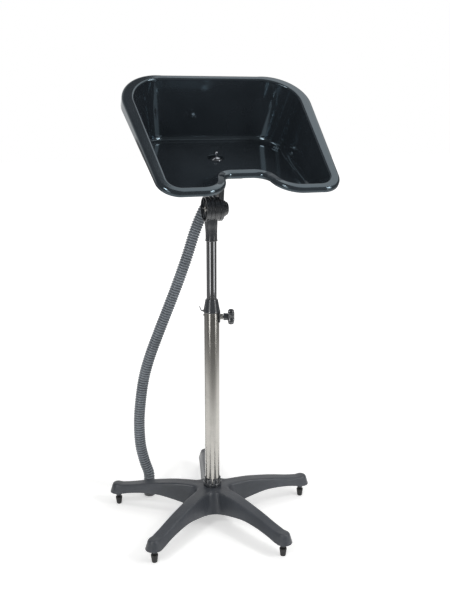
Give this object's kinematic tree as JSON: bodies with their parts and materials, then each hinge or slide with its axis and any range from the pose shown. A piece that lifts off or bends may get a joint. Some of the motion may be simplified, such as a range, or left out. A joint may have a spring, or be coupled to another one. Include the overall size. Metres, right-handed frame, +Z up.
{
  "type": "portable shampoo basin",
  "caption": "Portable shampoo basin: tilting bowl with neck recess, plug and drain hose, on a telescopic swivelling column with a clamp knob and a star-shaped foot.",
  "frame": {"origin": "on the floor, at the middle of the object's extent in plan without the hose and its cuff", "axes": "+Z up; +X to the right of someone who stands at the bowl's neck recess and looks into it; +Y from the recess towards the bowl's back"},
  "size_m": [0.5319, 0.5412, 1.124],
  "materials": {
    "base_moulding": "matte moulded, dark slate grey",
    "satin_black": "satin moulded, black",
    "bowl_moulding": "high gloss, black",
    "hose_plastic": "soft satin, blue grey, ribbed",
    "column_steel": "satin, drawn lengthwise",
    "chrome_tube": "bright",
    "chrome_drain": "bright",
    "hardware_steel": "plated",
    "nylon": "natural",
    "black_rubber": "matte"
  },
  "bodies": {
    "stand": {"star_base": "base_moulding", "foot_glide_1": "black_rubber", "foot_glide_2": "black_rubber", "foot_glide_3": "black_rubber", "foot_glide_4": "black_rubber", "foot_glide_5": "black_rubber", "base_ring": "satin_black", "outer_tube": "column_steel", "tube_foot_plug": "satin_black", "column_bolt": "hardware_steel", "column_washer": "hardware_steel", "tube_collar": "satin_black", "collar_rivet": "hardware_steel", "clamp_nut": "hardware_steel"},
    "pad": {"clamp_pad": "nylon"},
    "knob": {"clamp_knob": "satin_black", "clamp_stud": "hardware_steel"},
    "lift": {"glide_bush": "nylon"},
    "mast": {"inner_tube": "chrome_tube", "joint_socket": "satin_black", "socket_screw": "hardware_steel", "pivot_bolt": "hardware_steel", "pivot_nut": "hardware_steel", "gear_spring": "hardware_steel"},
    "gear": {"lock_gear": "nylon"},
    "head": {"tilt_bracket": "satin_black", "bracket_screw_1": "hardware_steel", "bracket_screw_2": "hardware_steel", "bracket_screw_3": "hardware_steel", "bracket_screw_4": "hardware_steel", "basin": "bowl_moulding", "drain_flange": "chrome_drain", "drain_gasket": "black_rubber", "drain_locknut": "satin_black", "tailpiece": "satin_black", "hose_nut": "satin_black", "drain_hose": "hose_plastic", "hose_cuff": "satin_black"},
    "release": {"release_button": "satin_black"},
    "stopper": {"drain_stopper": "chrome_drain"}
  },
  "joints": [
    {"name": "height", "type": "slide", "parent": "stand", "child": "lift", "axis": [0, 0, 1], "range_m": [-0.14, 0.2], "deforming": ["drain_hose"]},
    {"name": "swivel", "type": "hinge", "parent": "lift", "child": "mast", "pos_m": [-0.018, -0.008, 0.6], "axis": [0, 0, 1], "range_deg": [-90, 90]},
    {"name": "tilt", "type": "hinge", "parent": "mast", "child": "head", "pos_m": [-0.018, -0.008, 0.812], "axis": [1, 0, 0], "range_deg": [-40, 20]},
    {"name": "release_press", "type": "slide", "parent": "head", "child": "release", "axis": [-1, 0, 0], "range_m": [0, 0.005], "stiffness_N_per_m": 700, "springref_m": -0.004},
    {"name": "gear_slide", "type": "slide", "parent": "mast", "child": "gear", "axis": [-1, 0, 0], "range_m": [0, 0.005], "deforming": ["gear_spring"]},
    {"name": "clamp_travel", "type": "slide", "parent": "stand", "child": "pad", "axis": [0.9511, -0.309, 0], "range_m": [0, 0.0015]},
    {"name": "clamp_turn", "type": "hinge", "parent": "pad", "child": "knob", "pos_m": [-0.018, -0.008, 0.543], "axis": [0.9511, -0.309, 0], "range_deg": [0, 359]},
    {"name": "stopper_lift", "type": "slide", "parent": "head", "child": "stopper", "axis": [0, -0.309, 0.9511], "range_m": [0, 0.03]}
  ],
  "couplings": [
    {"joint": "gear_slide", "follows": "release_press", "ratio": 1},
    {"joint": "clamp_turn", "follows": "clamp_travel", "rad_per_m": 4177}
  ]
}
